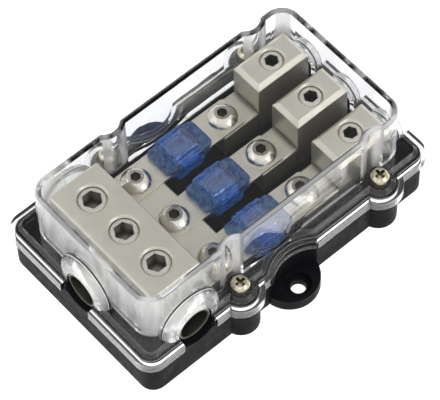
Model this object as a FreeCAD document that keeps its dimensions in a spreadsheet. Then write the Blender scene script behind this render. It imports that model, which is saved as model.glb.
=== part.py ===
import FreeCAD, Part
import math
import os
import re
import Sketcher

# Fused power distribution block: one input bus, three fused output terminals.
# Millimetres. X runs from the input end to the output end, Z is up, and the
# origin is in the middle of the base's underside.

SIZES = {
    # fuses, which set the length between the input bus and the output terminals
    "rowPitch": 17.3,
    "fuseSpacing": 33.9,
    "stripThickness": 0.9,
    "stripEnd": 4.5,
    "stripCorner": 1.0,
    "linkLength": 6.0,
    "linkWidth": 2.4,
    "fuseLength": 17.9,
    "fuseWidth": 11.6,
    "fuseSkin": 0.4,
    "wingRise": 1.3,
    "wingCorner": 1.8,
    "padMargin": 1.2,
    "padWidth": 6.4,
    "padRise": 0.4,
    "housingLength": 10.6,
    "housingRise": 3.7,
    "housingCorner": 0.8,
    "shoulderRise": 2.2,
    "plateauLength": 9.4,
    "plateauWidth": 7.6,
    "plateauBevel": 0.5,
    "ridgeWidth": 0.6,
    "ridgeHeight": 0.5,
    "chamberWall": 1.2,
    # fuse screws
    "fuseHeadRadius": 4.75,
    "fuseHeadHeight": 3.0,
    "fuseHeadRim": 0.7,
    "fuseHeadFlat": 2.5,
    "fuseShankRadius": 2.5,
    "fuseShankLength": 7.5,
    "fuseSocket": 3.0,
    "fuseSocketDepth": 2.0,
    "tapRunout": 0.6,
    # input block: a tall bar with three ports, and a ledge under the fuses
    "inputDepth": 18.3,
    "inputHeight": 24.0,
    "inputBorder": 5.7,
    "inputToFuse": 9.3,
    "ledgeThickness": 8.8,
    "ledgeMargin": 6.6,
    "ledgeBorder": 4.9,
    "metalChamfer": 0.5,
    "inputBoreRadius": 5.0,
    "spigotWall": 0.7,
    "boreOvershoot": 1.5,
    # input set screws
    "inputPitch": 14.2,
    "inputScrewRadius": 4.4,
    "inputScrewLength": 8.5,
    "inputScrewSink": 0.6,
    "inputSocket": 5.5,
    "inputSocketDepth": 5.2,
    # output terminals
    "fuseToOutput": 9.6,
    "outputDepth": 19.9,
    "outputWidth": 11.3,
    "outputHeight": 21.3,
    "outputChamfer": 1.4,
    "footMargin": 4.0,
    "footWidth": 11.0,
    "outputBoreRadius": 3.9,
    # output set screws
    "outputScrewSetback": 10.2,
    "outputScrewRadius": 3.65,
    "outputScrewLength": 6.9,
    "outputScrewSink": 0.6,
    "outputSocket": 4.0,
    "outputSocketDepth": 4.4,
    # threads and screw ends
    "threadGap": 0.05,
    "shankClear": 0.3,
    "mouthBevel": 0.6,
    "screwBevel": 0.5,
    # room round the metal inside the clear dome
    "inputEndGap": 3.0,
    "outputEndGap": 2.0,
    "fuseSideGap": 2.0,
    "headroom": 4.7,
    # clear dome
    "coverWall": 1.8,
    "domeCorner": 6.5,
    "domeRound": 1.3,
    "notchRadius": 4.8,
    "notchRound": 1.0,
    # clear flange round the dome
    "endFlange": 6.0,
    "sideFlange": 6.22,
    "skirtDrop": 2.6,
    "skirtGap": 0.3,
    "skirtRise": 1.0,
    "landInset": 1.5,
    "landRise": 1.35,
    "crownInset": 2.4,
    "crownRise": 2.5,
    "crownBevel": 1.3,
    "endOverhang": 1.4,
    "sideOverhang": 1.12,
    "bossOverhang": 1.62,
    # wire ports and the collars round them
    "portRise": 9.8,
    "portGap": 0.5,
    "basePortGap": 0.6,
    "spigotInset": 3.0,
    "collarInset": 2.6,
    "inputCollarWall": 4.2,
    "inputCollarLift": 1.8,
    "inputCollarRound": 2.7,
    "outputPortRadius": 4.8,
    "outputCollarWall": 1.0,
    "outputCollarLift": 0.2,
    "outputCollarRound": 1.0,
    # cover screws and their bosses
    "screwOffset": 3.1,
    "inputScrewShift": 0.8,
    "outputScrewShift": 0.3,
    "bossRadius": 5.7,
    "coverHeadRadius": 2.85,
    "coverHeadHeight": 3.5,
    "coverHeadRim": 2.5,
    "coverHeadFlat": 1.9,
    "coverShankRadius": 1.5,
    "coverShankLength": 11.0,
    "crossWidth": 0.9,
    "crossLength": 3.3,
    "crossDepth": 1.3,
    # black base
    "baseCorner": 4.6,
    "rimTop": 15.5,
    "rimInset": 0.4,
    "trayWall": 2.8,
    "trayCorner": 2.5,
    "floorTop": 8.0,
    "floorThickness": 3.0,
    "ribWidth": 3.6,
    "screwPadWidth": 11.0,
    "pocketCorner": 1.5,
    # mounting tabs and the curved wall behind each of them
    "tabX": 0.5,
    "tabLobeInset": 1.6,
    "tabLobeRadius": 9.3,
    "tabThickness": 4.5,
    "tabHoleReach": 2.3,
    "tabHoleRadius": 2.4,
    "tabSeatRadius": 4.0,
    "tabSeatDepth": 1.8,
    "reliefReach": 10.9,
    "reliefRadius": 14.4,
    # screws that hold the metal down from under the base
    "fixInputShift": 3.1,
    "fixOutputShift": 2.9,
    "fixHeadRadius": 2.9,
    "fixHeadHeight": 2.0,
    "fixSeat": 4.0,
    "fixShankRadius": 1.5,
    "fixShankLength": 8.0,
    "fixSocket": 2.5,
    "fixSocketDepth": 1.2,
}

# Sizes and places that follow from the ones above. Along X the metal sets the
# dome, the dome sets the flange, and the flange sets the base.
DERIVED = {
    "stripWidth": "fuseWidth - 2 * fuseSkin",
    "innerLength": "inputEndGap + inputDepth + inputToFuse + fuseSpacing + fuseToOutput"
                   " + outputDepth + outputEndGap",
    "innerWidth": "2 * (rowPitch + fuseWidth / 2 + fuseSideGap)",
    "domeLength": "innerLength + 2 * coverWall",
    "domeWidth": "innerWidth + 2 * coverWall",
    "domeTop": "inputTop + headroom + coverWall",
    "flangeLength": "domeLength + 2 * endFlange",
    "flangeWidth": "domeWidth + 2 * sideFlange",
    "baseLength": "flangeLength - 2 * endOverhang",
    "baseWidth": "flangeWidth - 2 * sideOverhang",
    "inputFace": "inputEndGap - innerLength / 2",
    "inputX": "inputFace + inputDepth / 2",
    "inputWidth": "2 * (rowPitch + inputBorder)",
    "inputTop": "floorTop + inputHeight",
    "ledgeWidth": "2 * (rowPitch + ledgeBorder)",
    "ledgeTop": "floorTop + ledgeThickness",
    "ledgeEnd": "fuseInputX + ledgeMargin",
    "fuseInputX": "inputFace + inputDepth + inputToFuse",
    "fuseOutputX": "fuseInputX + fuseSpacing",
    "fuseX": "fuseInputX + fuseSpacing / 2",
    "stripTop": "ledgeTop + stripThickness",
    "footEnd": "fuseOutputX - footMargin",
    "outputNear": "fuseOutputX + fuseToOutput",
    "outputFar": "outputNear + outputDepth",
    "outputX": "outputNear + outputScrewSetback",
    "outputTop": "floorTop + outputHeight",
    "portHeight": "floorTop + portRise",
    "inputPortRadius": "inputBoreRadius + spigotWall + portGap",
    "coverScrewInputX": "fuseInputX - inputScrewShift",
    "coverScrewOutputX": "outputX + outputScrewShift",
    "coverScrewY": "domeWidth / 2 + screwOffset",
    "crownTop": "rimTop + crownRise",
    "tabLobeY": "baseWidth / 2 - tabLobeInset",
    "tabHoleY": "baseWidth / 2 + tabHoleReach",
    "reliefY": "baseWidth / 2 + reliefReach",
    "fixInputX": "fuseInputX - fixInputShift",
    "fixOutputX": "outputNear + fixOutputShift",
}

doc = FreeCAD.newDocument("PowerDistributionBlock")
sheet = doc.addObject("Spreadsheet::Sheet", "Sizes")
for row, (alias, size) in enumerate(SIZES.items(), start=1):
    sheet.set("A%d" % row, alias)
    sheet.set("B%d" % row, str(size))
    sheet.setAlias("B%d" % row, alias)
doc.recompute()

V = FreeCAD.Vector
UPRIGHT = FreeCAD.Rotation()


def facing(x, y):
    """The turn that points a shape's own Z outward along (x, y), with its own Y up."""
    outward, up = V(x, y, 0), V(0, 0, 1)
    return FreeCAD.Rotation(up.cross(outward), up, outward, "ZYX")


def bound(text):
    """The same formula with every size read from the sheet."""
    def written_out(found):
        word = found.group(0)
        if word in DERIVED:
            return "(" + bound(DERIVED[word]) + ")"
        return "Sizes." + word if word in SIZES else word
    return re.sub(r"[A-Za-z]\w*", written_out, str(text))


def value(text):
    """The number that a formula gives with the sheet's present sizes."""
    number = doc.Sizes.evalExpression(bound(text).replace("Sizes.", ""))
    return float(getattr(number, "Value", number))


def bind(item, **formulas):
    for name, formula in formulas.items():
        item.setExpression(name, bound(formula))
    return item


def place(item, x="0", y="0", z="0", turn=UPRIGHT):
    item.Placement = FreeCAD.Placement(V(value(x), value(y), value(z)), turn)
    for axis, formula in zip("xyz", (x, y, z)):
        item.setExpression("Placement.Base." + axis, bound(formula))
    return item


# Primitive shapes and booleans

def cylinder(name, radius, height, x="0", y="0", z="0", turn=UPRIGHT):
    item = doc.addObject("Part::Cylinder", name)
    return place(bind(item, Radius=radius, Height=height), x, y, z, turn)


def cone(name, lower, upper, height, x="0", y="0", z="0"):
    item = doc.addObject("Part::Cone", name)
    return place(bind(item, Radius1=lower, Radius2=upper, Height=height), x, y, z)


def box(name, length, width, height, x="0", y="0", z="0"):
    """A box centred on x and y that stands on z."""
    item = doc.addObject("Part::Box", name)
    bind(item, Length=length, Width=width, Height=height)
    return place(item, "%s - (%s) / 2" % (x, length), "%s - (%s) / 2" % (y, width), z)


def hexagon(name, across, height, x="0", y="0", z="0"):
    item = doc.addObject("Part::Prism", name)
    item.Polygon = 6
    return place(bind(item, Circumradius="(%s) / 2 / cos(30)" % across, Height=height), x, y, z)


def joined(name, parts):
    item = doc.addObject("Part::MultiFuse", name)
    item.Shapes = parts
    item.Refine = True
    return item


def cut(name, whole, tools):
    item = doc.addObject("Part::Cut", name)
    item.Base = whole
    item.Tool = tools[0] if len(tools) == 1 else joined(name + "Tools", tools)
    item.Refine = True
    return item


# Sketches and the features that use them

def sketch(body, name, plane, height="0"):
    item = body.newObject("Sketcher::SketchObject", name)
    datum = [part for part in body.Origin.OriginFeatures if part.Role == plane + "_Plane"]
    item.AttachmentSupport = [(datum[0], "")]
    item.MapMode = "FlatFace"
    item.setExpression("AttachmentOffset.Base.z", bound(height))
    return item


def pin_point(item, edge, end, across, up):
    """Hold one end of a sketch edge, or an arc's centre, at a place given by formulas."""
    for kind, formula in (("DistanceX", across), ("DistanceY", up)):
        if formula is not None:
            number = item.addConstraint(Sketcher.Constraint(kind, -1, 1, edge, end, value(formula)))
            item.setExpression("Constraints[%d]" % number, bound(formula))


def outline(item, corners):
    """A closed outline, counterclockwise. A corner is (across, up), or
    (across, up, centre_across, centre_up) where an arc about that centre leaves it."""
    points = [V(value(corner[0]), value(corner[1]), 0) for corner in corners]
    for index, corner in enumerate(corners):
        start, end = points[index], points[(index + 1) % len(corners)]
        if len(corner) == 2:
            item.addGeometry(Part.LineSegment(start, end), False)
            continue
        centre = V(value(corner[2]), value(corner[3]), 0)
        angles = [math.atan2((spot - centre).y, (spot - centre).x) for spot in (start, end)]
        circle = Part.Circle(centre, V(0, 0, 1), (start - centre).Length)
        item.addGeometry(Part.ArcOfCircle(circle, angles[0], angles[1]), False)
    for index, corner in enumerate(corners):
        item.addConstraint(Sketcher.Constraint("Coincident", index, 2, (index + 1) % len(corners), 1))
        pin_point(item, index, 1, corner[0], corner[1])
    for index, corner in enumerate(corners):
        if len(corner) == 4:
            chord = points[(index + 1) % len(corners)] - points[index]
            if abs(chord.x) > abs(chord.y):
                pin_point(item, index, 3, None, corner[3])
            else:
                pin_point(item, index, 3, corner[2], None)


def rectangle(item, length, width):
    half_length, half_width = "(%s) / 2" % length, "(%s) / 2" % width
    outline(item, [("-" + half_length, "-" + half_width), (half_length, "-" + half_width),
                   (half_length, half_width), ("-" + half_length, half_width)])


def pad(body, item, length, symmetric=False, reverse=False):
    feature = body.newObject("PartDesign::Pad", item.Name + "Pad")
    feature.Profile = item
    feature.SideType = "Symmetric" if symmetric else "One side"
    feature.Reversed = reverse
    return bind(feature, Length=length)


def revolve(body, item):
    feature = body.newObject("PartDesign::Revolution", item.Name + "Turned")
    feature.Profile = item
    feature.ReferenceAxis = (item, ["V_Axis"])
    feature.Angle = 360
    return feature


def dress(body, kind, chosen, size):
    """A fillet or chamfer on the edges of the body's last feature that pass a test."""
    doc.recompute()
    base = body.Tip
    edges = ["Edge%d" % (number + 1) for number, edge in enumerate(base.Shape.Edges) if chosen(edge)]
    feature = body.newObject("PartDesign::" + kind, body.Name + kind)
    feature.Base = (base, edges)
    return bind(feature, **{"Radius" if kind == "Fillet" else "Size": size})


def upright(edge):
    box_of = edge.BoundBox
    return box_of.XLength < 1e-4 and box_of.YLength < 1e-4


def level(height):
    number = value(height)
    return lambda edge: abs(edge.BoundBox.ZMin - number) < 1e-4 and abs(edge.BoundBox.ZMax - number) < 1e-4


def rounded_block(name, length, width, corner, height, x="0", y="0", z="0"):
    body = doc.addObject("PartDesign::Body", name)
    item = sketch(body, name + "Outline", "XY")
    rectangle(item, length, width)
    pad(body, item, height)
    dress(body, "Fillet", upright, corner)
    return place(body, x, y, z)


# The shapes that the base and the cover share

SIDES = ("", "-")
SCREW_PLACES = [("coverScrewInputX", "coverScrewY"), ("coverScrewInputX", "-coverScrewY"),
                ("coverScrewOutputX", "coverScrewY"), ("coverScrewOutputX", "-coverScrewY")]
ROWS = [("back", "rowPitch"), ("middle", "0"), ("front", "-rowPitch")]
INPUT_ROWS = [("back", "inputPitch"), ("middle", "0"), ("front", "-inputPitch")]
FIX_PLACES = [("fixInputX", "rowPitch / 2"), ("fixInputX", "-rowPitch / 2")]
FIX_PLACES += [("fixOutputX", y) for row, y in ROWS]


def housing_layer(name, growth, bottom, height, bevel=None):
    """The housing's outline with its four screw bosses and the curved wall behind each tab.
    The growth is beyond the base at the ends, at the sides and round the bosses."""
    ends, sides, bosses = growth
    parts = [rounded_block(name + "Plate", "baseLength + 2 * (%s)" % ends,
                           "baseWidth + 2 * (%s)" % sides, "baseCorner + (%s)" % sides,
                           height, z=bottom)]
    for x, y in SCREW_PLACES:
        parts.append(cylinder(name + "Boss", "bossRadius + (%s)" % bosses, height, x, y, bottom))
    reliefs = [cylinder(name + "Relief", "reliefRadius - (%s)" % sides, "(%s) + 2" % height,
                        "tabX", side + "reliefY", "(%s) - 1" % bottom) for side in SIDES]
    layer = cut(name, joined(name + "Whole", parts), reliefs)
    if bevel is None:
        return layer
    doc.recompute()
    body = doc.addObject("PartDesign::Body", name + "Bevelled")
    body.BaseFeature = layer
    dress(body, "Chamfer", level("(%s) + (%s)" % (bottom, height)), bevel)
    return body


def overhang(inset):
    """How far the cover's flange stands past the base, less an inset."""
    return tuple("%s - %s" % (past, inset) for past in ("endOverhang", "sideOverhang", "bossOverhang"))


# Wire ports. Each style is the port's radius and its collar's wall, lift and rounding. Each
# port is its style, where its axis leaves the dome, the flange's width there and its turn.

INPUT_STYLE = ("inputPortRadius", "inputCollarWall", "inputCollarLift", "inputCollarRound")
OUTPUT_STYLE = ("outputPortRadius", "outputCollarWall", "outputCollarLift", "outputCollarRound")
PORTS = {"InputEnd": (INPUT_STYLE, "-domeLength / 2", "0", "endFlange", facing(-1, 0)),
         "InputBack": (INPUT_STYLE, "inputX", "domeWidth / 2", "sideFlange", facing(0, 1)),
         "InputFront": (INPUT_STYLE, "inputX", "-domeWidth / 2", "sideFlange", facing(0, -1))}
for row, y in ROWS:
    PORTS["Output" + row] = (OUTPUT_STYLE, "domeLength / 2", y, "endFlange", facing(1, 0))


def at_port(port, item, lift="0"):
    """Move a shape to a port: its own Z points out, from height 0 at the dome's face."""
    style, x, y, flange, turn = PORTS[port]
    return place(item, x, y, "portHeight + " + lift, turn)


def round_port(port):
    """A round hole through the base along a port, a little wider than the cover's."""
    radius, flange = PORTS[port][0][0] + " + basePortGap", PORTS[port][3]
    start, end = "-2 * coverWall", flange + " + 1"
    return at_port(port, turned("Round" + port, [("0", start), (radius, start), (radius, end), ("0", end)]))


def arched_port(port):
    """The same hole with straight sides below its axis, down through the flange."""
    radius, flange = PORTS[port][0][0], PORTS[port][3]
    drop = "-(portHeight - rimTop + skirtDrop + 1)"
    body = doc.addObject("PartDesign::Body", "Arched" + port)
    section = sketch(body, "Arch" + port, "XY", "-2 * coverWall")
    outline(section, [("-" + radius, drop), (radius, drop), (radius, "0", "0", "0"), ("-" + radius, "0")])
    pad(body, section, flange + " + 2 * coverWall + 1")
    return at_port(port, body)


def collar(port):
    """The raised round collar that stands out of the dome's wall round a port."""
    (radius, wall, lift, rounding), flange = PORTS[port][0], PORTS[port][3]
    outer, face = "(%s + %s)" % (radius, wall), "(%s - collarInset)" % flange
    rim, shoulder = "%s - %s" % (outer, rounding), "%s - %s" % (face, rounding)
    profile = [("0", "-coverWall / 2"), (outer, "-coverWall / 2"), (outer, shoulder, rim, shoulder),
               (rim, face), ("0", face)]
    return at_port(port, turned("Collar" + port, profile), lift)


# Base

def make_base():
    shoulder = "rimTop - skirtDrop - skirtGap"
    lower = housing_layer("BaseLower", ("0", "0", "0"), "0", shoulder)
    upper = housing_layer("BaseRim", ("-rimInset", "-rimInset", "-rimInset"), "0", "rimTop")
    tabs = [cylinder("TabLobe", "tabLobeRadius", "tabThickness", "tabX", side + "tabLobeY")
            for side in SIDES]
    shell = joined("BaseShell", [lower, upper] + tabs)

    tray_height = "rimTop - floorTop + 1"
    tray = rounded_block("TrayBlock", "baseLength - 2 * trayWall", "baseWidth - 2 * trayWall",
                         "trayCorner", tray_height, z="floorTop")
    kept = [cylinder("TrayBoss", "bossRadius", "(%s) + 2" % tray_height, x, y, "floorTop - 1")
            for x, y in SCREW_PLACES]
    kept += [cylinder("TrayRelief", "reliefRadius + trayWall", "(%s) + 2" % tray_height,
                      "tabX", side + "reliefY", "floorTop - 1") for side in SIDES]
    voids = [cut("Tray", tray, kept)] + underside_pockets()

    for side in SIDES:
        voids.append(cylinder("TabHole", "tabHoleRadius", "tabThickness + 2", "tabX",
                              side + "tabHoleY", "-1"))
        voids.append(cylinder("TabSeat", "tabSeatRadius", "tabSeatDepth + 1", "tabX",
                              side + "tabHoleY", "tabThickness - tabSeatDepth"))
    for x, y in SCREW_PLACES:
        voids.append(cylinder("Pilot", "coverShankRadius + threadGap", "coverShankLength + tapRunout",
                              x, y, "crownTop - coverShankLength - tapRunout"))
    for x, y in FIX_PLACES:
        voids.append(cylinder("FixHole", "fixShankRadius + shankClear", "floorTop + 2", x, y, "-1"))
        voids.append(cylinder("FixSeat", "fixHeadRadius + shankClear", "fixSeat + 1", x, y, "-1"))
    return cut("base", shell, voids + [round_port(port) for port in PORTS])


def underside_pockets():
    """Hollows under the floor, with ribs between them and pads round the fixing screws."""
    inner, rib = "(baseLength / 2 - trayWall)", "ribWidth / 2"
    columns = [("-" + inner, "fixInputX - screwPadWidth / 2"), ("fixInputX + screwPadWidth / 2", "tabX - " + rib),
               ("tabX + " + rib, "fixOutputX - screwPadWidth / 2"), ("fixOutputX + screwPadWidth / 2", inner)]
    far = "(reliefY - reliefRadius - trayWall)"
    return [rounded_block("Pocket", "(%s) - (%s)" % (end, start), "%s - %s" % (far, rib), "pocketCorner",
                          "floorTop - floorThickness + 1", "((%s) + (%s)) / 2" % (start, end),
                          "%s(%s + %s) / 2" % (side, far, rib), "-1")
            for start, end in columns for side in SIDES]


# Clear cover

def make_cover():
    skirt_bottom = "rimTop - skirtDrop"
    skirt = housing_layer("Skirt", overhang("0"), skirt_bottom, "skirtDrop + skirtRise")
    land = housing_layer("Land", overhang("landInset"), "rimTop", "landRise")
    crown = housing_layer("Crown", overhang("crownInset"), "rimTop", "crownRise", "crownBevel")
    room = "skirtGap - rimInset"
    rim_space = housing_layer("RimSpace", (room, room, room), skirt_bottom + " - 1", "skirtDrop + 1")
    flange = cut("Flange", joined("FlangeWhole", [skirt, land, crown]), [rim_space])

    dome = dome_form("Dome", "0", "rimTop", "domeTop - rimTop")
    dress(dome, "Fillet", lambda edge: upright(edge) and beside_notch(edge), "notchRound")
    dress(dome, "Fillet", level("domeTop"), "domeRound")
    hollow = dome_form("DomeHollow", "coverWall", "rimTop - 1", "domeTop - coverWall - rimTop + 1")

    collars = doc.addObject("Part::MultiCommon", "Collars")
    collars.Shapes = [joined("WholeCollars", [collar(port) for port in PORTS]),
                      box("CollarSpace", "flangeLength", "flangeWidth", "domeTop - rimTop", z="rimTop")]
    whole = joined("CoverWhole", [flange, dome, collars])
    holes = [cylinder("CoverHole", "coverShankRadius + shankClear", "crownRise + 2", x, y, "rimTop - 1")
             for x, y in SCREW_PLACES]
    return cut("cover", whole, holes + [hollow] + [arched_port(port) for port in PORTS])


def dome_form(name, inset, bottom, height):
    """The dome as a solid: upright walls with a notch beside each cover screw."""
    block = rounded_block(name + "Block", "domeLength - 2 * " + inset, "domeWidth - 2 * " + inset,
                          "domeCorner - " + inset, height, z=bottom)
    notches = [cylinder(name + "Notch", "notchRadius + " + inset, "(%s) + 2" % height, x, y,
                        "(%s) - 1" % bottom) for x, y in SCREW_PLACES]
    notched = cut(name + "Notched", block, notches)
    doc.recompute()
    body = doc.addObject("PartDesign::Body", name + "Rounded")
    body.BaseFeature = notched
    return body


def beside_notch(edge):
    return abs(edge.BoundBox.XMin) < value("domeLength / 2 - domeCorner - 1")


# Input block: bus ledge, three wire ports and three set-screw holes

def make_input_block():
    tower = doc.addObject("PartDesign::Body", "InputTower")
    section = sketch(tower, "InputSection", "XZ")
    far = "inputFace + inputDepth"
    outline(section, [("inputFace", "floorTop"), (far, "floorTop"), (far, "inputTop"),
                      ("inputFace", "inputTop")])
    pad(tower, section, "inputWidth", symmetric=True)
    dress(tower, "Chamfer", lambda edge: edge.BoundBox.ZMax > value("inputTop") - 1e-4, "metalChamfer")
    ledge = doc.addObject("PartDesign::Body", "InputLedge")
    section = sketch(ledge, "LedgeSection", "XZ")
    outline(section, [("inputX", "floorTop"), ("ledgeEnd", "floorTop"), ("ledgeEnd", "ledgeTop"),
                      ("inputX", "ledgeTop")])
    pad(ledge, section, "ledgeWidth", symmetric=True)
    dress(ledge, "Chamfer", lambda edge: edge.BoundBox.XMin > value("ledgeEnd") - 1e-4
          and not level("floorTop")(edge), "metalChamfer")

    outer = "inputBoreRadius + spigotWall"
    spigot_end, spigot_side = "(flangeLength / 2 - spigotInset)", "(flangeWidth / 2 - spigotInset)"
    overshoot = "inputScrewRadius + boreOvershoot"
    spigots, voids = [], []
    for name, x, y, turn, length, depth in (
            ("End", "-" + spigot_end, "0", facing(1, 0), spigot_end + " + inputFace",
             spigot_end + " + inputX + " + overshoot),
            ("Back", "inputX", spigot_side, facing(0, -1), spigot_side + " - inputWidth / 2",
             spigot_side + " - inputPitch + " + overshoot),
            ("Front", "inputX", "-" + spigot_side, facing(0, 1), spigot_side + " - inputWidth / 2",
             spigot_side + " - inputPitch + " + overshoot)):
        spigots.append(cylinder(name + "Spigot", outer, length + " + 1", x, y, "portHeight", turn))
        voids.append(cylinder(name + "Bore", "inputBoreRadius", depth, x, y, "portHeight", turn))
    whole = joined("InputWhole", [tower, ledge] + spigots)

    hole = "inputScrewRadius + threadGap"
    for row, y in INPUT_ROWS:
        voids.append(cylinder("InputTap" + row, hole, "inputTop - portHeight + 1", "inputX", y,
                              "portHeight"))
        voids.append(cone("InputMouth" + row, hole, "(%s) + 2 * mouthBevel" % hole, "2 * mouthBevel",
                          "inputX", y, "inputTop - mouthBevel"))
    for row, y in ROWS:
        voids.append(fuse_tap("FuseTapIn" + row, "fuseInputX", y))
    for x, y in FIX_PLACES[:2]:
        voids.append(fix_tap("FixTap", x, y))
    return cut("input_block", whole, voids)


def fuse_tap(name, x, y):
    """The tapped hole for a fuse screw, down from the metal's top."""
    return cylinder(name, "fuseShankRadius + threadGap", "fuseShankLength + tapRunout", x, y,
                    "stripTop - fuseShankLength - tapRunout")


def fix_tap(name, x, y):
    """The tapped hole for a fixing screw, up from the metal's underside."""
    return cylinder(name, "fixShankRadius + threadGap", "fixShankLength + tapRunout", x, y, "fixSeat")


# Output terminals: a foot under the fuse, a tall end with one port and one set screw

def make_output_terminal(row, y):
    name = "Output" + row
    tower = doc.addObject("PartDesign::Body", name + "Tower")
    section = sketch(tower, name + "Section", "XZ")
    outline(section, [("outputNear", "floorTop"), ("outputFar", "floorTop"),
                      ("outputFar", "outputTop"), ("outputNear", "outputTop")])
    pad(tower, section, "outputWidth", symmetric=True)
    dress(tower, "Chamfer", level("outputTop"), "outputChamfer")
    foot = doc.addObject("PartDesign::Body", name + "Foot")
    section = sketch(foot, name + "FootSection", "XZ")
    outline(section, [("footEnd", "floorTop"), ("outputX", "floorTop"), ("outputX", "ledgeTop"),
                      ("footEnd", "ledgeTop")])
    pad(foot, section, "footWidth", symmetric=True)
    dress(foot, "Chamfer", lambda edge: level("ledgeTop")(edge)
          and edge.BoundBox.XMin < value("outputNear"), "metalChamfer")
    whole = joined(name + "Whole", [tower, foot])
    hole = "outputScrewRadius + threadGap"
    voids = [cylinder(name + "Bore", "outputBoreRadius",
                      "outputFar - outputX + outputScrewRadius + boreOvershoot",
                      "outputFar", "0", "portHeight", facing(-1, 0)),
             cylinder(name + "Tap", hole, "outputTop - portHeight + 1", "outputX", "0", "portHeight"),
             cone(name + "Mouth", hole, "(%s) + 2 * mouthBevel" % hole, "2 * mouthBevel",
                  "outputX", "0", "outputTop - mouthBevel"),
             fuse_tap(name + "FuseTap", "fuseOutputX", "0"), fix_tap(name + "FixTap", "fixOutputX", "0")]
    return place(cut("output_terminal_" + row, whole, voids), "0", y)


# Screws: each is turned about its own axis, with its seat at height 0

def turned(name, corners):
    body = doc.addObject("PartDesign::Body", name)
    item = sketch(body, name + "Profile", "XZ")
    outline(item, corners)
    revolve(body, item)
    return body


def set_screw(label, radius, length, socket, depth, x, y, top):
    profile = [("0", "-(%s)" % length), (radius + " - screwBevel", "-(%s)" % length),
               (radius, "-(%s) + screwBevel" % length), (radius, "-screwBevel"),
               (radius + " - screwBevel", "0"), ("0", "0")]
    shank = turned(label + "_turned", profile)
    recess = hexagon(label + "_socket", socket, depth + " + 1", z="-(%s)" % depth)
    return place(cut(label, shank, [recess]), x, y, top)


def dome_centre(rim_radius, rim, flat, top):
    """The height on the axis of the arc that domes a head from its rim to its flat top."""
    return "((%s + %s) / 2 + (%s ^ 2 - %s ^ 2) / 2 / (%s - %s))" % (rim, top, flat, rim_radius, top, rim)


def fuse_screw(label, x, y):
    centre = dome_centre("fuseHeadRadius", "fuseHeadRim", "fuseHeadFlat", "fuseHeadHeight")
    profile = [("0", "-fuseShankLength"), ("fuseShankRadius - screwBevel", "-fuseShankLength"),
               ("fuseShankRadius", "-fuseShankLength + screwBevel"), ("fuseShankRadius", "0"),
               ("fuseHeadRadius", "0"), ("fuseHeadRadius", "fuseHeadRim", "0", centre),
               ("fuseHeadFlat", "fuseHeadHeight"), ("0", "fuseHeadHeight")]
    shank = turned(label + "_turned", profile)
    recess = hexagon(label + "_socket", "fuseSocket", "fuseSocketDepth + 1",
                     z="fuseHeadHeight - fuseSocketDepth")
    return place(cut(label, shank, [recess]), x, y, "stripTop")


def cover_screw(label, x, y):
    centre = dome_centre("coverHeadRadius", "coverHeadRim", "coverHeadFlat", "coverHeadHeight")
    profile = [("0", "-coverShankLength"), ("coverShankRadius", "-coverShankLength"),
               ("coverShankRadius", "0"), ("coverHeadRadius", "0"),
               ("coverHeadRadius", "coverHeadRim", "0", centre),
               ("coverHeadFlat", "coverHeadHeight"), ("0", "coverHeadHeight")]
    shank = turned(label + "_turned", profile)
    bars = [box(label + "_bar", length, width, "crossDepth + 1", z="coverHeadHeight - crossDepth")
            for length, width in (("crossLength", "crossWidth"), ("crossWidth", "crossLength"))]
    return place(cut(label, shank, bars), x, y, "crownTop")


def fix_screw(label, x, y):
    profile = [("0", "-fixHeadHeight"), ("fixHeadRadius", "-fixHeadHeight"), ("fixHeadRadius", "0"),
               ("fixShankRadius", "0"), ("fixShankRadius", "fixShankLength"), ("0", "fixShankLength")]
    shank = turned(label + "_turned", profile)
    recess = hexagon(label + "_socket", "fixSocket", "fixSocketDepth + 1", z="-fixHeadHeight - 1")
    return place(cut(label, shank, [recess]), x, y, "fixSeat")


# Fuses: a flat metal strip with a narrow link, inside a moulded body

def make_strip(row, y):
    name = "Strip" + row
    blank = rounded_block(name + "Blank", "fuseSpacing + 2 * stripEnd", "stripWidth", "stripCorner",
                          "stripThickness", x="fuseX", z="ledgeTop")
    voids = [cylinder(name + "Hole", "fuseShankRadius + shankClear", "stripThickness + 2", x, "0",
                      "ledgeTop - 1") for x in ("fuseInputX", "fuseOutputX")]
    for side in SIDES:
        voids.append(box(name + "Waist", "linkLength", "(stripWidth - linkWidth) / 2 + 1",
                         "stripThickness + 2", "fuseX",
                         side + "((stripWidth + linkWidth) / 4 + 0.5)", "ledgeTop - 1"))
    return place(cut("fuse_element_" + row, blank, voids), "0", y)


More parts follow.
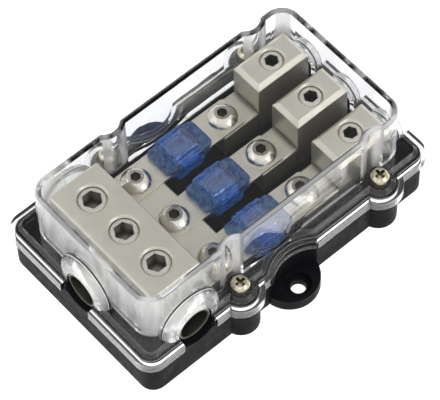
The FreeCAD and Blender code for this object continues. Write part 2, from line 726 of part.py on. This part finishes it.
def make_fuse_body(row, y):
    """The blue housing: a core round the strip, a plateau on it and a wing at each end."""
    name = "FuseBody" + row
    wings = rounded_block(name + "Wings", "fuseLength", "stripWidth", "wingCorner",
                          "stripThickness + 2 * wingRise", "fuseX", "0", "ledgeTop - wingRise")
    pads = rounded_block(name + "Pads", "fuseLength - 2 * padMargin", "padWidth", "housingCorner",
                         "wingRise + padRise", "fuseX", "0", "stripTop")
    core = rounded_block(name + "Core", "housingLength", "fuseWidth", "housingCorner",
                         "housingRise + stripThickness + shoulderRise", "fuseX", "0",
                         "ledgeTop - housingRise")
    plateau = rounded_block(name + "Plateau", "plateauLength", "plateauWidth", "housingCorner",
                            "housingRise", "fuseX", "0", "stripTop")
    dress(plateau, "Chamfer", level("housingRise"), "plateauBevel")
    beside = "(plateauWidth + fuseWidth) / 4"
    ridges = [box(name + "Ridge", "plateauLength", "ridgeWidth", "shoulderRise + ridgeHeight",
                  "fuseX", side + beside, "stripTop") for side in SIDES]
    slot = box(name + "Slot", "fuseLength + 2", "stripWidth", "stripThickness", "fuseX", "0", "ledgeTop")
    lower = box(name + "Chamber", "housingLength - 2 * chamberWall", "fuseWidth - 2 * chamberWall",
                "housingRise + stripThickness + shoulderRise - 2 * chamberWall", "fuseX", "0",
                "ledgeTop - housingRise + chamberWall")
    upper = box(name + "Loft", "plateauLength - 2 * chamberWall", "plateauWidth - 2 * chamberWall",
                "housingRise - chamberWall", "fuseX", "0", "stripTop")
    whole = joined(name + "Whole", [wings, pads, core, plateau] + ridges)
    return place(cut("fuse_body_" + row, whole, [slot, lower, upper]), "0", y)


nodes = [make_base(), make_cover(), make_input_block()]
for row, y in ROWS:
    nodes.append(make_output_terminal(row, y))
    nodes.append(make_strip(row, y))
    nodes.append(make_fuse_body(row, y))
    nodes.append(fuse_screw("fuse_screw_input_" + row, "fuseInputX", y))
    nodes.append(fuse_screw("fuse_screw_output_" + row, "fuseOutputX", y))
    nodes.append(set_screw("output_set_screw_" + row, "outputScrewRadius", "outputScrewLength",
                           "outputSocket", "outputSocketDepth", "outputX", y,
                           "outputTop - outputScrewSink"))
for row, y in INPUT_ROWS:
    nodes.append(set_screw("input_set_screw_" + row, "inputScrewRadius", "inputScrewLength",
                           "inputSocket", "inputSocketDepth", "inputX", y,
                           "inputTop - inputScrewSink"))
for number, (x, y) in enumerate(SCREW_PLACES, start=1):
    nodes.append(cover_screw("cover_screw_%d" % number, x, y))
for number, (x, y) in enumerate(FIX_PLACES, start=1):
    nodes.append(fix_screw("terminal_screw_%d" % number, x, y))

doc.recompute()
for item in doc.Objects:
    if "Invalid" in item.State or "Error" in item.State:
        raise RuntimeError("%s did not build: %s" % (item.Label, item.State))
for node in nodes:
    if node.Shape.isNull() or not node.Shape.isValid():
        raise RuntimeError("%s has no valid shape" % node.Label)

os.makedirs("parts", exist_ok=True)
for node in nodes:
    node.Shape.exportStep(os.path.join("parts", node.Label + ".step"))
    print(node.Label, "solids", len(node.Shape.Solids), "volume", round(node.Shape.Volume, 1))
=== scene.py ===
"""Looks of a fused power distribution block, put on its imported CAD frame.

Lengths are in metres, in the frame's own axes: X runs from the input port to the
output ports, Z is up, and the base stands on Z = 0.
"""

from functools import reduce

import bpy
from mathutils import Matrix, Vector


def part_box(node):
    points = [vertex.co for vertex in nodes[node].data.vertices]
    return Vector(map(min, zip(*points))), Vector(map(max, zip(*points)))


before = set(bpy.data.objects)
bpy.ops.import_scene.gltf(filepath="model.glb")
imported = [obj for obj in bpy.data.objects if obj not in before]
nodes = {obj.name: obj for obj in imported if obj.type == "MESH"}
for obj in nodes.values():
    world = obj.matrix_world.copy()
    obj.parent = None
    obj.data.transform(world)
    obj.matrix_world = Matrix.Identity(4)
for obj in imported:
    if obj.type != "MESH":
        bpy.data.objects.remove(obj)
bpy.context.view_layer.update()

MM = 0.001


# Shader helpers

OPENNESS_SAMPLES, BEVEL_SAMPLES = 8, 6
NUMBER_OPERATIONS = ("DOT_PRODUCT", "LENGTH")


class Tree:
    """A shader tree, and short ways to add to it. A value that goes in is either
    plain or another node's output."""

    def __init__(self, tree):
        self.tree = tree

    def add(self, kind, **settings):
        node = self.tree.nodes.new(kind)
        for name, value in settings.items():
            setattr(node, name, value)
        return node

    def link(self, source, target):
        self.tree.links.new(source, target)

    def put(self, value, socket):
        if isinstance(value, bpy.types.NodeSocket):
            self.link(value, socket)
        else:
            socket.default_value = value

    def operate(self, kind, operation, values):
        """The outputs of a node of a kind that does an operation on the values."""
        node = self.add(kind, operation=operation)
        for value, socket in zip(values, node.inputs):
            self.put(value, socket)
        return node.outputs

    def math(self, operation, *values):
        return self.operate("ShaderNodeMath", operation, values)["Value"]

    def product(self, *values):
        return reduce(lambda first, second: self.math("MULTIPLY", first, second), values)

    def highest(self, *values):
        return reduce(lambda first, second: self.math("MAXIMUM", first, second), values)

    def vector(self, operation, *vectors):
        """A vector, or a number from the operations that give one."""
        output = "Value" if operation in NUMBER_OPERATIONS else "Vector"
        return self.operate("ShaderNodeVectorMath", operation, vectors)[output]

    def axes(self, vector):
        """The X, Y and Z of a vector."""
        node = self.add("ShaderNodeSeparateXYZ")
        self.link(vector, node.inputs["Vector"])
        return [node.outputs[axis] for axis in "XYZ"]

    def ramp(self, source, low, high, start=0.0, end=1.0, kind="LINEAR"):
        """source from start to end becomes low to high, and stays within them."""
        node = self.add("ShaderNodeMapRange", interpolation_type=kind)
        for name, value in (("Value", source), ("From Min", start), ("From Max", end),
                            ("To Min", low), ("To Max", high)):
            self.put(value, node.inputs[name])
        return node.outputs["Result"]

    def between(self, factor, low, high):
        """low where factor is 0 and high where it is 1."""
        node = self.add("ShaderNodeMix")
        for name, value in (("Factor", factor), ("A", low), ("B", high)):
            self.put(value, node.inputs[name])
        return node.outputs["Result"]

    def ray_is(self, *kinds):
        """1 where any of these Light Path kinds is looking, else 0."""
        path = self.add("ShaderNodeLightPath")
        return self.highest(*[path.outputs[kind] for kind in kinds])


class Surface(Tree):
    """A material with one Principled shader, and short ways to feed it."""

    def __init__(self, name, **sockets):
        self.material = bpy.data.materials.new(name)
        self.material.use_nodes = True
        super().__init__(self.material.node_tree)
        self.shader = self.tree.nodes["Principled BSDF"]
        self.output = self.tree.nodes["Material Output"]
        for socket, value in sockets.items():
            self.shader.inputs[socket.replace("_", " ")].default_value = value

    def feed(self, socket, source):
        self.link(source, self.shader.inputs[socket])

    def place(self):
        """Where the shaded point is on the object, in metres."""
        return self.add("ShaderNodeTexCoord").outputs["Object"]

    def normal(self):
        return self.add("ShaderNodeNewGeometry").outputs["Normal"]

    def noise(self, size, detail=2.0, stretch=(1.0, 1.0, 1.0)):
        """Cloudy noise from 0 to 1 whose grains are about size metres across."""
        mapping = self.add("ShaderNodeMapping")
        mapping.inputs["Scale"].default_value = [1 / (size * s) for s in stretch]
        texture = self.add("ShaderNodeTexNoise")
        texture.inputs["Scale"].default_value = 1.0
        texture.inputs["Detail"].default_value = detail
        self.link(self.place(), mapping.inputs["Vector"])
        self.link(mapping.outputs["Vector"], texture.inputs["Vector"])
        return texture.outputs["Fac"]

    def cells(self, size):
        """Shallow cones in random cells about size metres across, from 0 to 1."""
        texture = self.add("ShaderNodeTexVoronoi")
        texture.inputs["Scale"].default_value = 1 / size
        self.link(self.place(), texture.inputs["Vector"])
        return texture.outputs["Distance"]

    def tint(self, factor, first, second):
        """The first colour where factor is 0, the second where it is 1."""
        node = self.add("ShaderNodeMix", data_type="RGBA")
        for name, value in (("A_Color", first), ("B_Color", second)):
            socket = next(s for s in node.inputs if s.identifier == name)
            self.put((*value, 1.0) if isinstance(value, tuple) else value, socket)
        self.link(factor, node.inputs["Factor"])
        return next(s for s in node.outputs if s.identifier == "Result_Color")

    def axis_distance(self, centre, across):
        """Distance in metres from an axis through centre. In across, the two
        directions at right angles to the axis are 1 and its own is 0."""
        offset = self.vector("SUBTRACT", self.place(), centre)
        return self.vector("LENGTH", self.vector("MULTIPLY", offset, across))

    def openness(self, reach):
        """1 on open faces and towards 0 in the piece's own holes and recesses."""
        node = self.add("ShaderNodeAmbientOcclusion", samples=OPENNESS_SAMPLES,
                        only_local=True)
        node.inputs["Distance"].default_value = reach
        return node.outputs["AO"]

    def rounded(self, radius):
        """The normal as if the piece's edges were rounded to this radius."""
        node = self.add("ShaderNodeBevel", samples=BEVEL_SAMPLES)
        node.inputs["Radius"].default_value = radius
        return node.outputs["Normal"]

    def bump(self, height, depth, edge_radius=None):
        """Relief whose full height range is depth metres, over softened edges."""
        node = self.add("ShaderNodeBump")
        node.inputs["Distance"].default_value = depth
        self.link(height, node.inputs["Height"])
        if edge_radius:
            self.link(self.rounded(edge_radius), node.inputs["Normal"])
        self.feed("Normal", node.outputs["Normal"])

    def lets_lamps_through(self):
        """Lamps and soft light pass straight through, so what it covers is lit."""
        clear = self.add("ShaderNodeBsdfTransparent")
        mix = self.add("ShaderNodeMixShader")
        self.link(self.ray_is("Is Shadow Ray", "Is Diffuse Ray"), mix.inputs["Fac"])
        self.link(self.shader.outputs["BSDF"], mix.inputs[1])
        self.link(clear.outputs["BSDF"], mix.inputs[2])
        self.link(mix.outputs["Shader"], self.output.inputs["Surface"])


def dress(surface, *names):
    """Puts a surface on CAD nodes, named whole or by how their names start."""
    for node_name, piece in nodes.items():
        if node_name.startswith(names):
            for place in piece.material_slots:
                place.material = surface.material


# Black base

NOISE_BODY = (0.3, 0.7)

BLACK_TONES = ((0.006, 0.0063, 0.0075), (0.0105, 0.011, 0.0125))
BLACK_CLOUD, BLACK_SHEEN, BLACK_GRAIN = 14 * MM, 3 * MM, 0.25 * MM
BLACK_ROUGHNESS = (0.36, 0.55)
BLACK_GRAIN_DEPTH, BLACK_EDGE = 0.012 * MM, 0.3 * MM


def moulded_black():
    s = Surface("base_black", Specular_IOR_Level=0.04)
    s.feed("Base Color", s.tint(s.noise(BLACK_CLOUD), *BLACK_TONES))
    s.feed("Roughness", s.ramp(s.noise(BLACK_SHEEN, detail=4), *BLACK_ROUGHNESS, *NOISE_BODY))
    s.bump(s.noise(BLACK_GRAIN, detail=3), BLACK_GRAIN_DEPTH, BLACK_EDGE)
    return s


# Clear cover. Milk is the share of light that the plastic scatters and doesn't pass. On rounded
# edges, lines where faces meet, the roof's near rims and the input-end walls that milk is
# painted highlight and painted light.
# Limits for a facing or a bend are cosines, from the mask's one end to its other.

LAND_HEIGHT = 16.9 * MM
CROWN_HEIGHT = 18.1 * MM
DOME_INSET_X, DOME_INSET_Y = 5.9 * MM, 10.31 * MM

# the second and third tones are a painted dark shade line and a painted white highlight line on
# the collars
CLEAR_TONE, GROOVE_PAINTED_SHADE, RIDGE_PAINTED_HIGHLIGHT = (0.96, 0.965, 0.975), (0.01, 0.01, 0.01), (1.0, 1.0, 1.0)
CLEAR_ROUGHNESS, MILKY_ROUGHNESS, ROUGHEST_FROM_MILK = 0.015, 0.22, 0.42
WAVE_SIZE, WAVE_DEPTH = 9 * MM, 0.07 * MM

STREAK_SIZE, STREAK_STRETCH = 5 * MM, (0.7, 0.7, 4)
STREAK_BODY = (0.35, 0.65)

# painted highlight on the dome's rounded edges, stronger where they face the near sides
EDGE_PAINTED_HIGHLIGHT = (0.08, 0.34)
EDGE_BEND = (0.999, 0.92)
NEAR_SIDE = (-0.64, -0.77, 0.0)
NEAR_FACING = (-0.1, 0.3)

# painted reflection: white haze along the roof's near rims
RIM_PAINTED_REFLECTION = (0.06, 0.26)
RIM_REFLECTION_FROM, RIM_REFLECTION_TO = 1 * MM, 6 * MM
SIDE_RIM_SHARE = 0.12

# painted light on the upright walls at the input end, less at their foot where painted shade is
# left
WALL_PAINTED_LIGHT = (0.28, 0.62)
WALL_FACING = (0.2, 0.5)
WALL_LIT_ABOVE = 23 * MM
WALL_FOOT_SHARE = 0.15
WALL_CLEAR_FROM, WALL_LIT_TO = -24 * MM, -44 * MM
FAR_WALL_SHARE = 0.08

# painted white highlight lines along the edges where faces meet
LINE_PAINTED_HIGHLIGHT = 0.35
LINE_RADIUS = 0.22 * MM
LINE_BEND = (0.99, 0.9)

BAND_MILK = (0.0, 0.02)

COLLAR_MILK = (0.07, 0.2)
COLLAR_ROUGHNESS = 0.2
# where the painted shade line and the painted highlight line lie, out from the dome
COLLAR_GROOVE = (0.6 * MM, 1.1 * MM)
COLLAR_RIDGE = (1.1 * MM, 1.4 * MM)
RIDGE_HIGHLIGHT_SHARE = 0.8


def clear_moulding():
    """Clear plastic, a little milky on the thick skirt and the collars, with painted highlights
    on rounded edges and where faces meet, painted reflection along the roof's near rims, painted
    light on the upright input-end walls, and a painted shade groove and painted highlight ridge
    at the collars.
    """
    s = Surface("cover_clear", IOR=1.5)
    x, y, z = s.axes(s.place())
    facing = s.axes(s.vector("ABSOLUTE", s.normal()))
    inside = s.add("ShaderNodeNewGeometry").outputs["Backfacing"]
    outside = s.math("SUBTRACT", 1.0, inside)
    above_crown = s.math("GREATER_THAN", z, CROWN_HEIGHT)
    high_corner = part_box("cover")[1]
    dome_end, dome_side = high_corner.x - DOME_INSET_X, high_corner.y - DOME_INSET_Y
    streaks = s.noise(STREAK_SIZE, detail=3, stretch=STREAK_STRETCH)

    def streaky(milk_and_painted_light):
        return s.ramp(streaks, *milk_and_painted_light, *STREAK_BODY)

    # painted highlights on the dome's rounded edges, stronger on its near sides
    nearness = s.vector("DOT_PRODUCT", s.normal(), NEAR_SIDE)
    painted_edge_highlight = s.product(s.ramp(s.highest(*facing), 0.0, 1.0, *EDGE_BEND),
                     s.ramp(nearness, *EDGE_PAINTED_HIGHLIGHT, *NEAR_FACING), above_crown)

    # painted reflection, a white haze on the roof along its near rims
    end_rim = s.ramp(x, 1.0, 0.0, RIM_REFLECTION_FROM - dome_end, RIM_REFLECTION_TO - dome_end)
    side_rim = s.ramp(y, SIDE_RIM_SHARE, 0.0, RIM_REFLECTION_FROM - dome_side,
                      RIM_REFLECTION_TO - dome_side)
    painted_rim_reflection = s.product(s.highest(end_rim, side_rim), above_crown, outside, streaky(RIM_PAINTED_REFLECTION))

    # painted light on the upright walls round the input block, with painted shade at their foot
    upright = s.ramp(facing[2], 1.0, 0.0, *WALL_FACING)
    above_shaded_foot = s.ramp(z, WALL_FOOT_SHARE, 1.0, CROWN_HEIGHT, WALL_LIT_ABOVE)
    input_end = s.ramp(x, FAR_WALL_SHARE, 1.0, WALL_CLEAR_FROM, WALL_LIT_TO)
    painted_wall_light = s.product(upright, above_crown, above_shaded_foot, input_end, outside, streaky(WALL_PAINTED_LIGHT))

    # painted highlight lines where faces meet, and milk on the skirt below the land
    bend = s.vector("DOT_PRODUCT", s.normal(), s.rounded(LINE_RADIUS))
    painted_line_highlight = s.product(s.ramp(bend, 0.0, LINE_PAINTED_HIGHLIGHT, *LINE_BEND), outside)
    band = s.product(s.math("LESS_THAN", z, LAND_HEIGHT), outside, streaky(BAND_MILK))

    # the collars round the ports, each with a painted dark shade line in a groove and a painted
    # white highlight line on a ridge next to the dome
    from_dome = s.highest(s.math("SUBTRACT", s.math("ABSOLUTE", x), dome_end),
                          s.math("SUBTRACT", s.math("ABSOLUTE", y), dome_side))
    collar = s.product(s.math("GREATER_THAN", from_dome, 0.0), above_crown)
    painted_groove_shade, painted_ridge_highlight = [s.product(collar, outside, s.math("GREATER_THAN", from_dome, low),
                               s.math("LESS_THAN", from_dome, high))
                     for low, high in (COLLAR_GROOVE, COLLAR_RIDGE)]

    # real milk on the skirt and collars together with the painted highlights, painted reflection
    # and painted light above
    milk_and_painted_light = s.highest(painted_edge_highlight, painted_rim_reflection, painted_wall_light, painted_line_highlight, band, painted_groove_shade, s.product(painted_ridge_highlight, RIDGE_HIGHLIGHT_SHARE),
                     s.product(collar, streaky(COLLAR_MILK)))
    from_milk = s.ramp(milk_and_painted_light, CLEAR_ROUGHNESS, MILKY_ROUGHNESS, 0.0, ROUGHEST_FROM_MILK)
    s.feed("Transmission Weight", s.math("SUBTRACT", 1.0, milk_and_painted_light))
    s.feed("Roughness", s.highest(from_milk, s.product(collar, COLLAR_ROUGHNESS)))
    s.feed("Base Color", s.tint(painted_groove_shade, s.tint(painted_ridge_highlight, CLEAR_TONE, RIDGE_PAINTED_HIGHLIGHT), GROOVE_PAINTED_SHADE))
    s.bump(s.noise(WAVE_SIZE, detail=1), WAVE_DEPTH)
    s.lets_lamps_through()
    return s


# Plated metal. A bore is a point on its axis and the directions across it. The input
# block's ledge and the output terminals' feet lie within LEDGES_TO of the middle.

PORT_HEIGHT = 17.8 * MM
SIDE_PORTS_X = -35.85 * MM
ROW_PITCH = 17.3 * MM
INPUT_BORES = (((0, 0, PORT_HEIGHT), (0, 1, 1)), ((SIDE_PORTS_X, 0, PORT_HEIGHT), (1, 0, 1)))
OUTPUT_BORES = tuple(((0, row * ROW_PITCH, PORT_HEIGHT), (0, 1, 1)) for row in (-1, 0, 1))
INPUT_BORE_RADIUS, OUTPUT_BORE_RADIUS = 5.45 * MM, 4.1 * MM
# the share of colour kept inside bores; the rest is painted shade
BORE_UNSHADED_SHARE = 0.2
LEDGES_TO = 27.0 * MM

UPRIGHT_TO_LEVEL = (0.1, 0.6)
SHUT_TO_OPEN = (0.4, 0.88)
SHEEN_TO_GRAIN = 1 / 4
DEPTH_TO_GRIT = 1 / 40
FINE_GRIT = 0.2 * MM

# painted shade tones that bores, holes, sockets and cross recesses darken towards
BORE_PAINTED_SHADE, HEXAGON_PAINTED_SHADE = (0.014, 0.012, 0.007), (0.025, 0.021, 0.012)
SOCKET_PAINTED_SHADE, CROSS_PAINTED_SHADE = (0.1, 0.088, 0.06), (0.12, 0.1, 0.06)

# the upright share is how much colour upright faces keep; the rest is painted shade
BLOCK_FINISH = dict(
    dull=(0.58, 0.555, 0.475), bright=(0.68, 0.655, 0.575), grain=6 * MM,
    roughness=(0.42, 0.52), painted_shade_tone=BORE_PAINTED_SHADE, reach=3 * MM, edge_radius=0.45 * MM,
    upright_unshaded_share=0.82)
SCREW_FINISH = dict(
    dull=(0.6, 0.57, 0.5), bright=(0.74, 0.71, 0.64), grain=2 * MM, roughness=(0.14, 0.24),
    painted_shade_tone=SOCKET_PAINTED_SHADE, reach=4 * MM, grit=1.5 * MM)
SET_SCREW_FINISH = dict(
    dull=(0.68, 0.65, 0.58), bright=(0.84, 0.81, 0.74), grain=2 * MM, roughness=(0.3, 0.4),
    painted_shade_tone=HEXAGON_PAINTED_SHADE, reach=4 * MM, grit=0.8 * MM)
BRASS_FINISH = dict(
    dull=(0.25, 0.2, 0.12), bright=(0.88, 0.82, 0.66), grain=0.7 * MM, roughness=(0.1, 0.22),
    painted_shade_tone=CROSS_PAINTED_SHADE, reach=1.5 * MM, grit=0.7 * MM)
STRIP_FINISH = dict(
    dull=(0.6, 0.575, 0.5), bright=(0.7, 0.675, 0.595), grain=3 * MM, roughness=(0.28, 0.42),
    painted_shade_tone=BORE_PAINTED_SHADE, reach=2 * MM, edge_radius=0.15 * MM)


def metal(name, dull, bright, grain, roughness, painted_shade_tone, reach, edge_radius=None,
          upright_unshaded_share=1.0, grit=FINE_GRIT, bores=(), bore_radius=0.0):
    """Plated metal, mottled from dull to bright. It keeps a share of that colour, less
    in bores, holes and recesses and on upright faces, and painted shade colour is the rest."""
    s = Surface(name, Metallic=1.0)
    level = s.axes(s.vector("ABSOLUTE", s.normal()))[2]
    # painted shade: less colour on upright faces and in the piece's own hollows
    share = s.product(s.ramp(level, upright_unshaded_share, 1.0, *UPRIGHT_TO_LEVEL),
                      s.ramp(s.openness(reach), 0.0, 1.0, *SHUT_TO_OPEN))
    if bores:
        from_middle = s.math("ABSOLUTE", s.axes(s.place())[0])
        on_ledge = s.math("LESS_THAN", from_middle, LEDGES_TO)
    # painted shade inside the bores, but not on the ledges
    for centre, across in bores:
        outside_bore = s.math("GREATER_THAN", s.axis_distance(centre, across), bore_radius)
        share = s.product(share, s.ramp(s.highest(outside_bore, on_ledge), BORE_UNSHADED_SHARE, 1.0))
    sheen = s.noise(grain * SHEEN_TO_GRAIN, detail=4)
    s.feed("Base Color", s.tint(share, painted_shade_tone, s.tint(s.noise(grain, detail=3), dull, bright)))
    s.feed("Roughness", s.ramp(sheen, *roughness, *NOISE_BODY))
    s.bump(s.noise(grit), grit * DEPTH_TO_GRIT, edge_radius)
    return s


# Blue fuse housings

BLUE_TONES = ((0.03, 0.13, 0.6), (0.14, 0.44, 0.98))
BLUE_PATCH, BLUE_PATCH_BODY = 1.6 * MM, (0.38, 0.62)
BLUE_FACET, BLUE_FACET_DEPTH = 1.7 * MM, 0.3 * MM
# of the housing and of the window
BLUE_TRANSMISSION, BLUE_ROUGHNESS = (0.84, 0.9), (0.04, 0.14)
WINDOW_TONE = (0.32, 0.42, 0.66)
WINDOW_FACING = 0.9
# along X and Y, as shares of the housing's box
BOX_MIDDLE, WINDOW_REACH = 0.5, (0.27, 0.34)


def blue_moulding():
    """Patchy deep blue, with a greyer clear window in the middle of the top."""
    s = Surface("fuse_blue", IOR=1.5)
    box_share = s.axes(s.add("ShaderNodeTexCoord").outputs["Generated"])
    from_middle = [s.math("ABSOLUTE", s.math("SUBTRACT", share, BOX_MIDDLE))
                   for share in box_share[:2]]
    within = [s.math("LESS_THAN", offset, reach)
              for offset, reach in zip(from_middle, WINDOW_REACH)]
    window = s.product(*within, s.math("GREATER_THAN", s.axes(s.normal())[2], WINDOW_FACING))
    patches = s.ramp(s.noise(BLUE_PATCH), 0.0, 1.0, *BLUE_PATCH_BODY)
    s.feed("Base Color", s.tint(window, s.tint(patches, *BLUE_TONES), WINDOW_TONE))
    s.feed("Transmission Weight", s.ramp(window, *BLUE_TRANSMISSION))
    s.feed("Roughness", s.ramp(window, *BLUE_ROUGHNESS))
    s.bump(s.cells(BLUE_FACET), BLUE_FACET_DEPTH)
    s.lets_lamps_through()
    return s


dress(moulded_black(), "base")
dress(clear_moulding(), "cover")
dress(metal("input_nickel", bores=INPUT_BORES, bore_radius=INPUT_BORE_RADIUS, **BLOCK_FINISH),
      "input_block")
dress(metal("output_nickel", bores=OUTPUT_BORES, bore_radius=OUTPUT_BORE_RADIUS, **BLOCK_FINISH),
      "output_terminal")
dress(metal("screw_nickel", **SCREW_FINISH), "fuse_screw", "terminal_screw")
dress(metal("set_screw_nickel", **SET_SCREW_FINISH), "input_set_screw", "output_set_screw")
dress(metal("cover_screw_brass", **BRASS_FINISH), "cover_screw")
dress(metal("fuse_strip", **STRIP_FINISH), "fuse_element")
dress(blue_moulding(), "fuse_body")


# Floor, light and camera

FLOOR_SIZE = 3.0
FLOOR_DROP = 0.05 * MM
FLOOR_TONE = (0.8, 0.8, 0.8, 1)
FLOOR_GLOW = 0.85

WHITE, WHITE_LEVEL = (1, 1, 1, 1), 1.0
AMBIENT_LEVEL = 0.75
HORIZON_LEVEL, SKY_LEVEL = 0.75, 1.25
SKY_RISE = 0.55
FLAG_LEVEL = 0.2
FLAG_DIRECTION = (0.334, 0.403, 0.852)
FLAG_EDGE = (0.975, 0.99)
HALF_A_BOUNCE = 0.5

LAMP_DISTANCE = 0.9
# name, direction from the object, size and power
LAMPS = (("left_light", (-0.85, 0.41, 0.40), 0.7, 1.0),
         ("right_light", (0.3, -0.85, 0.40), 0.5, 0.9),
         ("small_light", (0.13, -0.85, 0.51), 0.1, 0.4))

PHOTO_WIDTH, PHOTO_HEIGHT = 440, 400
SENSOR_WIDTH = 36.0
FOCAL_PIXELS = 2827.5
OPTICAL_CENTRE = (230.98, 198.94)
NEAREST, FARTHEST = 0.01, 20.0
EYE = Vector((-0.28319, -0.34241, 0.72229))
VIEW_RIGHT = Vector((0.74957, -0.66174, -0.01538)).normalized()
VIEW_AHEAD = Vector((0.3407, 0.4056, -0.8482)).normalized()


def make_floor():
    bpy.ops.mesh.primitive_plane_add(size=FLOOR_SIZE, location=(0, 0, -FLOOR_DROP))
    floor = bpy.context.object
    floor.name = "floor"
    material = bpy.data.materials.new("floor_white")
    material.use_nodes = True
    t = Tree(material.node_tree)
    t.tree.nodes.clear()
    output = t.add("ShaderNodeOutputMaterial")
    matt = t.add("ShaderNodeBsdfDiffuse")
    matt.inputs["Color"].default_value = FLOOR_TONE
    glow = t.add("ShaderNodeEmission")
    seen = t.ray_is("Is Camera Ray", "Is Glossy Ray", "Is Transmission Ray")
    t.link(t.between(seen, 0.0, FLOOR_GLOW), glow.inputs["Strength"])
    both = t.add("ShaderNodeAddShader")
    t.link(matt.outputs["BSDF"], both.inputs[0])
    t.link(glow.outputs["Emission"], both.inputs[1])
    t.link(both.outputs["Shader"], output.inputs["Surface"])
    floor.data.materials.append(material)


def make_world():
    """White to the camera and through clear walls. What gloss shows, through a
    clear wall or not, grows from a grey horizon to white overhead, with a dark flag
    where the flat roof would mirror it. The rest of the light is an even grey."""
    world = bpy.data.worlds.new("studio")
    bpy.context.scene.world = world
    world.use_nodes = True
    t = Tree(world.node_tree)
    background = t.tree.nodes["Background"]
    background.inputs["Color"].default_value = WHITE
    direction = t.add("ShaderNodeTexCoord").outputs["Generated"]
    sky = t.ramp(t.axes(direction)[2], HORIZON_LEVEL, SKY_LEVEL, 0.0, SKY_RISE)
    flagged = t.ramp(t.vector("DOT_PRODUCT", direction, FLAG_DIRECTION), sky, FLAG_LEVEL,
                     *FLAG_EDGE, kind="SMOOTHSTEP")
    bounces = t.add("ShaderNodeLightPath").outputs["Glossy Depth"]
    mirrored = t.math("GREATER_THAN", bounces, HALF_A_BOUNCE)
    seen = t.between(mirrored, WHITE_LEVEL, flagged)
    level = t.between(t.ray_is("Is Diffuse Ray", "Is Shadow Ray"), seen, AMBIENT_LEVEL)
    t.link(level, background.inputs["Strength"])


def softbox(name, direction, size, power):
    """A square lamp that faces the object from a direction."""
    data = bpy.data.lights.new(name, "AREA")
    data.shape = "SQUARE"
    data.size = size
    data.energy = power
    lamp = bpy.data.objects.new(name, data)
    bpy.context.collection.objects.link(lamp)
    lamp.location = Vector(direction).normalized() * LAMP_DISTANCE
    lamp.rotation_mode = "QUATERNION"
    lamp.rotation_quaternion = lamp.location.to_track_quat("Z", "Y")


def make_camera():
    data = bpy.data.cameras.new("photo_camera")
    data.sensor_width = SENSOR_WIDTH
    data.lens = SENSOR_WIDTH * FOCAL_PIXELS / PHOTO_WIDTH
    data.shift_x = (PHOTO_WIDTH / 2 - OPTICAL_CENTRE[0]) / PHOTO_WIDTH
    data.shift_y = (OPTICAL_CENTRE[1] - PHOTO_HEIGHT / 2) / PHOTO_WIDTH
    data.clip_start, data.clip_end = NEAREST, FARTHEST
    camera = bpy.data.objects.new("photo_camera", data)
    bpy.context.collection.objects.link(camera)
    view_up = VIEW_RIGHT.cross(VIEW_AHEAD)
    turn = Matrix((VIEW_RIGHT, view_up, -VIEW_AHEAD)).transposed()
    camera.rotation_mode = "QUATERNION"
    camera.rotation_quaternion = turn.to_quaternion()
    camera.location = EYE
    bpy.context.scene.camera = camera


make_floor()
make_world()
for lamp in LAMPS:
    softbox(*lamp)
make_camera()

bpy.context.scene.view_settings.view_transform = "Standard"
